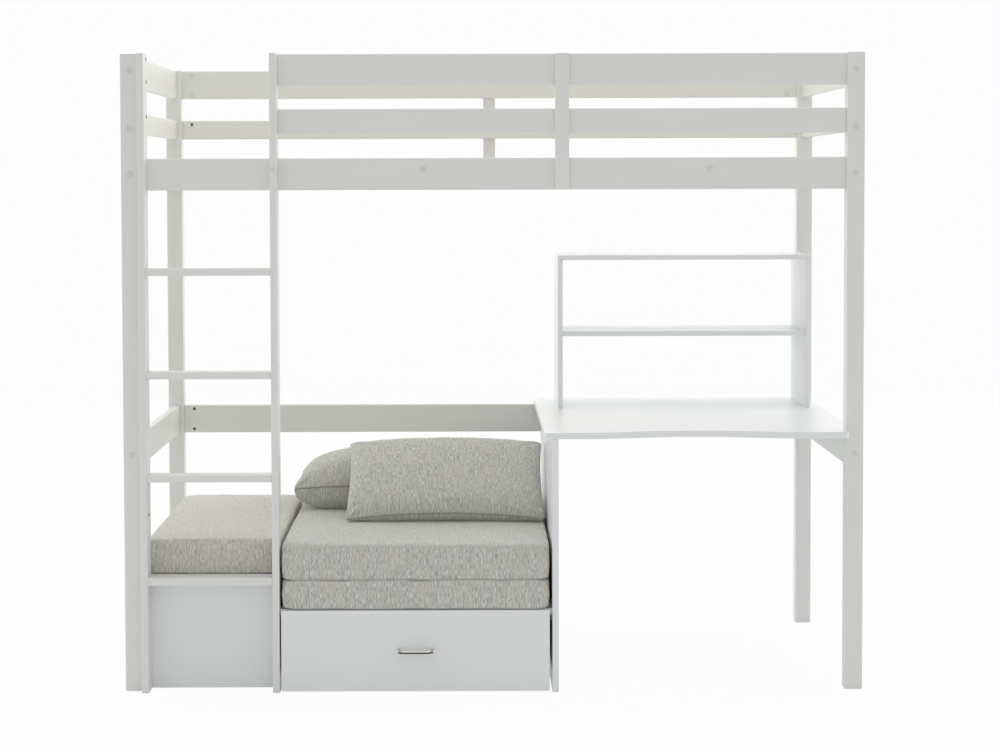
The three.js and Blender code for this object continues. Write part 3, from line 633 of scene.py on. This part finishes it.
def pillow_cover(name, above, below, hang, upper, lower, finish):
    """A knife-edged pillow, filled but not yet swollen, and its limits. above and below are its
    reach from its seam, hang is how far its corners hang down, and upper and lower are the
    powers that shape its two panels."""
    half = PILLOW_SIZE / 2
    limit = [1 - PILLOW_CORNER / part for part in half]

    def shape(bm):
        across, along = [round(size / PILLOW_PITCH) for size in PILLOW_SIZE]
        bmesh.ops.create_grid(bm, x_segments=across, y_segments=along, size=1)
        # The mesh is finer towards the seam, where the panels curve most.
        for vertex in bm.verts:
            for i in range(2):
                part = vertex.co[i]
                vertex.co[i] = (part + math.sin(part * math.pi / 2)) / 2
        bmesh.ops.solidify(bm, geom=bm.faces[:], thickness=PILLOW_EDGE)
        bmesh.ops.recalc_face_normals(bm, faces=bm.faces[:])
        in_order(bm)

    cover = new_object(name, shape, finish)
    vertices = cover.data.vertices
    middle = sum(v.co.z for v in vertices) / len(vertices)
    tops = [v.co.z > middle for v in vertices]
    rims = [max(abs(v.co.x), abs(v.co.y)) > PILLOW_RIM for v in vertices]

    def room_at(u, v):
        """How full the pillow is, from 1 in its middle to 0 at its seam."""
        return max(0, (1 - abs(u) ** PILLOW_ROUNDNESS) * (1 - abs(v) ** PILLOW_ROUNDNESS))

    def rise(u, v, top):
        """How far a panel lies above or below the seam."""
        return above * room_at(u, v) ** upper if top else -below * room_at(u, v) ** lower

    def length(end, size, rise_at):
        """How far the cloth runs from the middle of the pillow to a share of its half size."""
        steps = [end * i / WEAVE_STEPS for i in range(WEAVE_STEPS + 1)]
        parts = [
            math.hypot(size * (after - before), rise_at(after) - rise_at(before))
            for before, after in zip(steps, steps[1:])
        ]
        return math.copysign(sum(parts), end)

    weave = []
    for vertex, top in zip(vertices, tops):
        u, v = round_corner(vertex.co[:2], limit)
        weave.append(
            (
                length(u, half.x, lambda part: rise(part, v, top)),
                length(v, half.y, lambda part: rise(u, part, top)),
            )
        )
        x = half.x * u * (1 - PILLOW_DRAW_SHARE * (1 - v * v))
        y = half.y * v * (1 - PILLOW_DRAW_SHARE * (1 - u * u))
        edge = PILLOW_EDGE / 2 if top else -PILLOW_EDGE / 2
        vertex.co = x, y, rise(u, v, top) + edge - hang * (u * v) ** 2
    set_weave(cover, lambda vertex, normal: weave[vertex.index])
    rim_points = {}
    for side in (True, False):
        found = [v for v, top, rim in zip(vertices, tops, rims) if rim and top == side]
        rim_points[side] = KDTree(len(found))
        for vertex in found:
            rim_points[side].insert(vertex.co, vertex.index)
        rim_points[side].balance()

    def seam(vertex):
        top = tops[vertex.index]
        apart = rim_points[top].find(vertex.co)[2] + PILLOW_EDGE / 2
        return apart if top else -apart

    set_seams(cover, seam)
    return cover, lambda place: (PILLOW_CAP,) * 3


def rest_on(piece, height):
    """Presses a piece flat where it lies on something."""
    for vertex in piece.data.vertices:
        vertex.co.z = max(vertex.co.z, height)


def ripple(piece, height):
    """Small uneven places that a stuffed cover has."""
    normals = [vertex.normal.copy() for vertex in piece.data.vertices]
    for vertex, normal in zip(piece.data.vertices, normals):
        vertex.co += normal * (height * noise.noise(vertex.co / RIPPLE_LENGTH))


# Each block's node and finish, and the insets of its low and its high sides
FOAM_BLOCKS = {
    "seat_cushion_cover": ("seat_cushion", warm_linen, (0, 2, 1), (-0.5, 2, 2)),
    "mattress_cover_lower": ("mattress_lower", linen, (-0.5, 2, 1), (2, 2, 1)),
    "mattress_cover_upper": ("mattress_upper", linen, (-0.5, 2, 0.5), (2, 2, 2)),
}
# Each pillow's reach above and below its seam and the hang of its corners, in metres, and the
# powers of its upper and lower panels
PILLOWS = {
    "pillow_cover_back": (0.1, 0.09, 0.004, 0.57, 0.27),
    "pillow_cover_front": (0.042, 0.088, 0.028, 0.55, 0.4),
}
covers = {name: foam_block(name, *facts) for name, facts in FOAM_BLOCKS.items()}
for name, facts in PILLOWS.items():
    covers[name] = pillow_cover(name, *facts, linen)
swell(covers.values())

# Lean and middle of each pillow's seam, in degrees and metres, as in the CAD
PILLOW_PLACES = {
    "pillow_cover_back": (0, (-0.3147, 0.2919, 0.4999)),
    "pillow_cover_front": (35, (-0.1415, 0.0139, 0.5524)),
}
mattress_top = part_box("mattress_upper")[1].z + PILLOW_GAP
for name, (lean, middle) in PILLOW_PLACES.items():
    cover = covers[name][0]
    fold_corners(cover)
    turn = Matrix.Rotation(math.radians(lean), 4, "X")
    cover.data.transform(Matrix.Translation(middle) @ turn)
    rest_on(cover, mattress_top)

# Each cover's node and slot, how full it is, and how deep its ripples are in millimetres
STANDS_FOR = {
    "seat_cushion_cover": ("seat_cushion", "linen_warm", 0.9, 0.5),
    "mattress_cover_lower": ("mattress_lower", "linen_grey", 0.9, 0.5),
    "mattress_cover_upper": ("mattress_upper", "linen_grey", 0.9, 0.5),
    "pillow_cover_back": ("pillow_back", "linen_grey", 0.7, 1.2),
    "pillow_cover_front": ("pillow_front", "linen_grey", 0.6, 1.2),
}
for name, (node, finish_slot, fill, depth) in STANDS_FOR.items():
    piece = covers[name][0]
    ripple(piece, depth * MM)
    for face in piece.data.polygons:
        face.use_smooth = True
    finer = piece.modifiers.new("finer", "SUBSURF")
    finer.levels = finer.render_levels = 1
    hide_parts(node)
    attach(piece, "frame")


# Fittings, all measured in millimetres

BOLT_HEIGHTS = {"guard_top": 1764, "guard_middle": 1601, "end_rail": 1471, "lower_rail": 675}
RAIL_BOLTS = (-197, 613)  # along the front side rail
RAIL_BOLT_HEIGHT = 1484
STILE_BOLT = (-617.7, 1484)  # across, and height
NUT_INSET = 32  # from a rail's end, as its CAD hole
NUT_EDGE = 12  # from a long rail's upper and lower edges, as its CAD holes
NUT_SUNK = 6  # from the rail's face
WIDE_RAIL = 85  # rails over this height have two nuts at each end
POST_HALF = 25  # from a post's face to its middle
POST_CAP, STILE_CAP, RAIL_PLUG = 10, 7, 8  # radii
STILE_SCREW, DESK_SCREW = 5.6, 3.8  # radii of the heads
STILE_SCREWS = ((25, 1796), (25, 1732), (25, 1634), (3, 505))  # from the front, and height
SCREW_PROUD = 0.5  # of the stile's face
SCREW_SUNK = 2  # under the desk's face
BED_FRONT = -458.85  # the posts' front faces
DESK_SCREWS = (0.158, 0.577, 0.959)  # shares of the bed's depth, from the front
BED_DEPTH = 975
SMALL_FACE = 20  # square millimetres; larger faces of a fitting are flat

# Turns a shape that faces up to another side
FACING = {
    "front": Matrix.Rotation(math.pi / 2, 4, "X"),
    "back": Matrix.Rotation(-math.pi / 2, 4, "X"),
    "right": Matrix.Rotation(math.pi / 2, 4, "Y"),
    "left": Matrix.Rotation(-math.pi / 2, 4, "Y"),
    "up": Matrix.Identity(4),
}


def turned(profile, sides):
    """A closed shape turned round Z from points of radius and height, in millimetres."""
    bm = bmesh.new()
    points = [bm.verts.new((radius * MM, 0, height * MM)) for radius, height in profile]
    lines = [bm.edges.new(pair) for pair in zip(points, points[1:])]
    bmesh.ops.spin(
        bm,
        geom=points + lines,
        cent=(0, 0, 0),
        axis=(0, 0, 1),
        angle=2 * math.pi,
        steps=sides,
        use_merge=True,
    )
    bmesh.ops.remove_doubles(bm, verts=bm.verts, dist=0.01 * MM)
    bmesh.ops.recalc_face_normals(bm, faces=bm.faces)
    return bm


def sunk(bm, inside, depth):
    """Sinks each face that faces up and whose centre, in millimetres, passes inside()."""
    faces = [f for f in bm.faces if f.normal.z > 0.9 and inside(f.calc_center_median() / MM)]
    grown = bmesh.ops.extrude_face_region(bm, geom=faces)["geom"]
    moved = [item for item in grown if isinstance(item, bmesh.types.BMVert)]
    bmesh.ops.translate(bm, vec=(0, 0, -depth * MM), verts=moved)


def template(bm):
    """A mesh of one fitting that faces up, for stamp() to copy."""
    mesh = bpy.data.meshes.new("template")
    bmesh.ops.recalc_face_normals(bm, faces=bm.faces)
    in_order(bm)
    bm.to_mesh(mesh)
    bm.free()
    return mesh


def cap_template(radius):
    """A pressed-in plastic cap over a bolt's head: a low dome with a thin edge."""
    steps = ((0, 1.3), (0.4, 1.25), (0.7, 1.0), (0.9, 0.55), (0.98, 0.2), (1, -0.3), (0, -0.3))
    return template(turned([(share * radius, height) for share, height in steps], sides=32))


def nut_template():
    """A barrel nut with a driver slot, below the face of the rail."""
    bm = turned(((0, 0), (4.2, 0), (4.7, -0.5), (4.7, -7.5), (0, -7.5)), sides=28)
    half = 0.7  # of the slot's width
    split(bm, 0, (-half * MM, half * MM))
    sunk(bm, lambda centre: abs(centre.x) < half, depth=1.5)
    return template(bm)


def screw_template(radius):
    """A countersunk screw head with a cross recess."""
    profile = ((0, 0), (radius, 0), (radius, -0.3), (radius * 0.6, -2.2), (0, -2.2))
    bm = turned(profile, sides=24)
    half, arm = 0.5, 0.55 * radius  # of the cross: half a bar's width, and its reach
    for reach in (half, arm):
        for axis in (0, 1):
            split(bm, axis, (-reach * MM, reach * MM))

    def in_cross(centre):
        near, far = sorted((abs(centre.x), abs(centre.y)))
        return near < half and far < arm

    sunk(bm, in_cross, depth=1.4)
    return template(bm)


def stamp(bm, shape, place, facing):
    """Adds a copy of a template, turned from facing up to the way it faces here."""
    before = len(bm.verts)
    bm.from_mesh(shape)
    bm.verts.ensure_lookup_table()
    spot = Matrix.Translation([part * MM for part in place])
    bmesh.ops.transform(bm, matrix=spot @ FACING[facing], verts=bm.verts[before:])


def fitting(name, shape, places, finish, body="frame"):
    """One piece that holds the same fitting at several places."""

    def build(bm):
        for place, facing in places:
            stamp(bm, shape, place, facing)

    piece = new_object(name, build, finish)
    for face in piece.data.polygons:
        face.use_smooth = face.area < SMALL_FACE * MM * MM
    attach(piece, body)


def end_bolts():
    """The bolts through the posts into the end rails and the long rails."""
    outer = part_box("post_front_right")[1].x / MM
    middle = outer - POST_HALF
    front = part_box("post_front_right")[0].y / MM
    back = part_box("post_back_right")[1].y / MM
    places = []
    for side in (-1, 1):
        for height in BOLT_HEIGHTS.values():
            places.append(((side * middle, front, height), "front"))
            places.append(((side * middle, back, height), "back"))
    for side, facing in ((-1, "left"), (1, "right")):
        for rail, height in BOLT_HEIGHTS.items():
            places.append(((side * outer, back - POST_HALF, height), facing))
            # The front posts have fewer: the left one only the end rail's.
            if rail == "end_rail" or (side > 0 and rail != "lower_rail"):
                places.append(((side * outer, front + POST_HALF, height), facing))
    return places


def nut_holes(name):
    """The mouths of the barrel-nut holes in a rail's inner face, as the CAD bores them."""
    low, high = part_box(name)
    low, high = low / MM, high / MM
    side = name.split("_")[-1]
    if side in ("left", "right"):
        face, facing = (high.x, "right") if side == "left" else (low.x, "left")
        z = (low.z + high.z) / 2
        return [((face, y, z), facing) for y in (low.y + NUT_INSET, high.y - NUT_INSET)]
    # A side rail's box takes in its ledger, so the rail above it gives the face.
    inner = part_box("guard_top_" + side)
    y, facing = (inner[1].y / MM, "back") if side == "front" else (inner[0].y / MM, "front")
    heights = [high.z - NUT_EDGE]
    if high.z - low.z > WIDE_RAIL:
        heights.append(low.z + NUT_EDGE)
    ends = (low.x + NUT_INSET, high.x - NUT_INSET)
    return [((x, y, z), facing) for x in ends for z in heights]


def deeper(place, facing, depth):
    """A place moved into the face that it lies on."""
    outward = FACING[facing] @ Vector((0, 0, 1))
    return Vector(place) - outward * depth


rails = [
    name
    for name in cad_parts
    if name.startswith(("guard_top", "guard_middle", "side_rail", "end_rail", "lower_rail"))
]
# The holes in the top rails and the end rails are plugged; the others show their nuts.
plugs, nuts = [], []
for name in rails:
    plugged = name.startswith("guard_top") or name.endswith(("left", "right"))
    for place, facing in nut_holes(name):
        if plugged:
            plugs.append((place, facing))
        else:
            nuts.append((deeper(place, facing, NUT_SUNK), facing))

fitting("bolt_caps", cap_template(POST_CAP), end_bolts(), caps)
rail_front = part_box("side_rail_front")[0].y / MM
stile_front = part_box("ladder_stile_right")[0].y / MM
rail_caps = [((x, rail_front, RAIL_BOLT_HEIGHT), "front") for x in RAIL_BOLTS]
fitting("rail_bolt_caps", cap_template(POST_CAP), rail_caps, caps)
stile_x, stile_z = STILE_BOLT
stile_cap = [((stile_x, stile_front, stile_z), "front")]
fitting("stile_bolt_cap", cap_template(STILE_CAP), stile_cap, caps)
fitting("rail_plugs", cap_template(RAIL_PLUG), plugs, caps)
fitting("barrel_nuts", nut_template(), nuts, zinc)
stile_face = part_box("ladder_stile_left")[1].x / MM + SCREW_PROUD
stile_screws = [((stile_face, BED_FRONT + depth, z), "right") for depth, z in STILE_SCREWS]
# The stile's screws are near black partly as painted shade, for the dark holes round their heads
fitting("stile_screws", screw_template(STILE_SCREW), stile_screws, phosphate_and_shade)
divider_low, divider_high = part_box("desk_divider")
screw_x = (divider_low.x + divider_high.x) / 2 / MM
screw_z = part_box("desk_top")[1].z / MM - SCREW_SUNK
desk_screws = [
    ((screw_x, BED_FRONT + share * BED_DEPTH, screw_z), "up") for share in DESK_SCREWS
]
fitting("desk_screws", screw_template(DESK_SCREW), desk_screws, zinc)


# Drawer pull: a grooved bar bowed out between two small rosettes

# The bar's section, outwards and upwards in millimetres: two beads with a groove between them
PULL_SECTION = (
    (-3.6, 4.6), (-2.4, 5.6), (0.6, 5.9), (2.9, 5.3), (3.9, 3.9), (3.8, 2.1), (3.3, 1.5),
    (-1.4, 1.3), (-1.9, 0.7), (-1.9, -2.7), (-1.4, -3.3), (2.8, -3.5), (3.3, -3.8),
    (3.4, -5.0), (2.5, -5.9), (0.4, -6.3), (-2.6, -5.9), (-3.6, -4.8),
)  # fmt: skip
PULL_GROOVE = slice(7, 11)  # the points at the bottom of the groove
FOOT_PAINTED_SHADE = 0.7  # painted shade where the pull meets the drawer's front
FOOT_DEPTH = 0.5 * MM  # of that painted shade
PULL_FOOT = 50 * MM  # from the middle to each rosette's centre
PULL_SPREAD = 25  # degrees that the legs lean outwards
PULL_BEND = 11 * MM  # radius of the bends, to the bar's middle
PULL_BEND_STEPS = 8
PULL_SMALL_FACE = 60  # square millimetres; larger faces, and the ends, are flat
ROSETTE_PROFILE = ((0, 2.6), (5.4, 2.6), (6.2, 2.2), (6.8, 1.4), (7, 0), (0, 0))


def pull_bar(bm):
    """Sweeps the bar's section up one leg, along the front and down the other leg."""
    low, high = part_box("drawer_handle")
    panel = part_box("drawer_front")[0].y
    middle = (low + high) / 2
    front = low.y + max(out for out, up in PULL_SECTION) * MM
    lean = math.radians(PULL_SPREAD)
    turn = math.pi / 2 - lean
    leg = Vector((math.sin(lean), -math.cos(lean), 0))
    # The bend takes up part of the reach, and the leg is the rest.
    run = (panel - front - PULL_BEND * (1 - math.sin(lean))) / math.cos(lean)
    foot = Vector((middle.x - PULL_FOOT, panel, middle.z))
    painted_shade = bm.verts.layers.float.new("painted_shade")
    ring = [bm.verts.new((-out * MM, 0, up * MM)) for out, up in PULL_SECTION]
    # Painted shade along the bottom of the groove
    for vertex in ring[PULL_GROOVE]:
        vertex[painted_shade] = 1
    last = ring + [bm.edges.new(pair) for pair in zip(ring, ring[1:] + ring[:1])]
    stand = Matrix.Translation(foot) @ Matrix.Rotation(lean, 4, "Z")
    bmesh.ops.transform(bm, matrix=stand, verts=ring)

    def drawn(geom, way):
        """Draws the open end straight on, and gives the new end."""
        edges = [item for item in geom if isinstance(item, bmesh.types.BMEdge)]
        grown = bmesh.ops.extrude_edge_only(bm, edges=edges)["geom"]
        moved = [item for item in grown if isinstance(item, bmesh.types.BMVert)]
        bmesh.ops.translate(bm, vec=way, verts=moved)
        ends = {edge for vertex in moved for edge in vertex.link_edges}
        return moved + [edge for edge in ends if all(end in moved for end in edge.verts)]

    def bent(geom, centre):
        """Draws the open end on round a bend, and gives the new end."""
        return bmesh.ops.spin(
            bm, geom=geom, cent=centre, axis=(0, 0, 1), angle=turn, steps=PULL_BEND_STEPS
        )["geom_last"]

    last = drawn(last, leg * run)
    inward = Vector((math.cos(lean), math.sin(lean), 0)) * PULL_BEND
    first_centre = foot + leg * run + inward
    last = bent(last, first_centre)
    straight = 2 * (middle.x - first_centre.x)
    last = drawn(last, Vector((straight, 0, 0)))
    last = bent(last, first_centre + Vector((straight, 0, 0)))
    drawn(last, Vector((leg.x, -leg.y, 0)) * run)
    bmesh.ops.holes_fill(bm, edges=[edge for edge in bm.edges if edge.is_boundary], sides=0)
    rosette = template(turned(ROSETTE_PROFILE, sides=28))
    for side in (-1, 1):
        place = (middle.x + side * PULL_FOOT, panel, middle.z)
        stamp(bm, rosette, [part / MM for part in place], "front")
    painted_shade = bm.verts.layers.float["painted_shade"]
    # Painted shade on the feet next to the drawer's front, for their contact shadow
    for vertex in bm.verts:
        if vertex.co.y > panel - FOOT_DEPTH:
            vertex[painted_shade] = FOOT_PAINTED_SHADE
    bmesh.ops.recalc_face_normals(bm, faces=bm.faces)


pull = new_object("drawer_pull", pull_bar, nickel)
for face in pull.data.polygons:
    face.use_smooth = len(face.vertices) < 5 and face.area < PULL_SMALL_FACE * MM * MM
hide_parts("drawer_handle")
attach(pull, "drawer")


# Studio

FLOOR_REACH = 9  # metres from the middle to each side
FLOOR_WHITE = 0.94  # share of plain white in the floor; the rest takes light and shadow
SKY_LIGHT = 0.65  # that the bed gets from all round; plain white is 1


def looked_at(tree):
    """1 where a surface is looked at, itself or in gloss or glass, and 0 where it lights."""
    path = add(tree, "ShaderNodeLightPath")
    share = path.outputs["Is Camera Ray"]
    for ray in ("Is Glossy Ray", "Is Transmission Ray"):
        inputs = {0: share, 1: path.outputs[ray]}
        share = add(tree, "ShaderNodeMath", inputs, operation="MAXIMUM").outputs[0]
    return share


def stage_plane():
    """A white floor, painted matt, that keeps the bed's shadow."""
    made, tree, shader = new_material("studio_floor", 0.9)
    shader.inputs["Base Color"].default_value = linear("f4f4f4")
    inputs = {0: looked_at(tree), 1: FLOOR_WHITE}
    share = add(tree, "ShaderNodeMath", inputs, operation="MULTIPLY")
    white = add(tree, "ShaderNodeEmission", {"Strength": 1.0})
    mixed = add(
        tree,
        "ShaderNodeMixShader",
        {0: share.outputs[0], 1: shader.outputs[0], 2: white.outputs[0]},
    )
    tree.links.new(mixed.outputs[0], tree.nodes["Material Output"].inputs["Surface"])

    def shape(bm):
        bmesh.ops.create_grid(bm, x_segments=1, y_segments=1, size=FLOOR_REACH)

    floor = new_object("floor", shape, made)


stage_plane()

world = bpy.data.worlds.new("studio")
world.use_nodes = True
bpy.context.scene.world = world
sky = world.node_tree
ambient = sky.nodes["Background"]
ambient.inputs["Color"].default_value = linear("ffffff")
ambient.inputs["Strength"].default_value = SKY_LIGHT
backdrop = add(sky, "ShaderNodeBackground", {"Color": linear("fdfdfd"), "Strength": 1.0})
lit = add(
    sky,
    "ShaderNodeMixShader",
    {0: looked_at(sky), 1: ambient.outputs[0], 2: backdrop.outputs[0]},
)
sky.links.new(lit.outputs[0], sky.nodes["World Output"].inputs["Surface"])


def lamp(name, place, target, size, watts):
    """A rectangular softbox that faces its target."""
    data = bpy.data.lights.new(name, "AREA")
    data.shape = "RECTANGLE"
    data.size, data.size_y = size
    data.energy = watts
    made = bpy.data.objects.new(name, data)
    bpy.context.scene.collection.objects.link(made)
    made.location = place
    made.rotation_mode = "QUATERNION"
    made.rotation_quaternion = (Vector(place) - Vector(target)).to_track_quat("Z", "Y")


# Each softbox's name, place, target, width and height, and watts. Those at the sides stand far
# off, so that the end of the bed next to one isn't much brighter than the rest.
SOFTBOXES = (
    ("softbox_above", (0, 0.4, 4.6), (0, 0.2, 0.8), (5, 3), 54),
    ("softbox_left", (-9, 2.9, 2.4), (0, 0.4, 0.8), (6, 4), 210),
    ("softbox_right", (9, 2.9, 2.4), (0, 0.4, 0.8), (6, 4), 220),
    ("softbox_behind", (0, 5.5, 2.4), (0, 0, 1.0), (6, 3), 28),
)
for softbox in SOFTBOXES:
    lamp(*softbox)
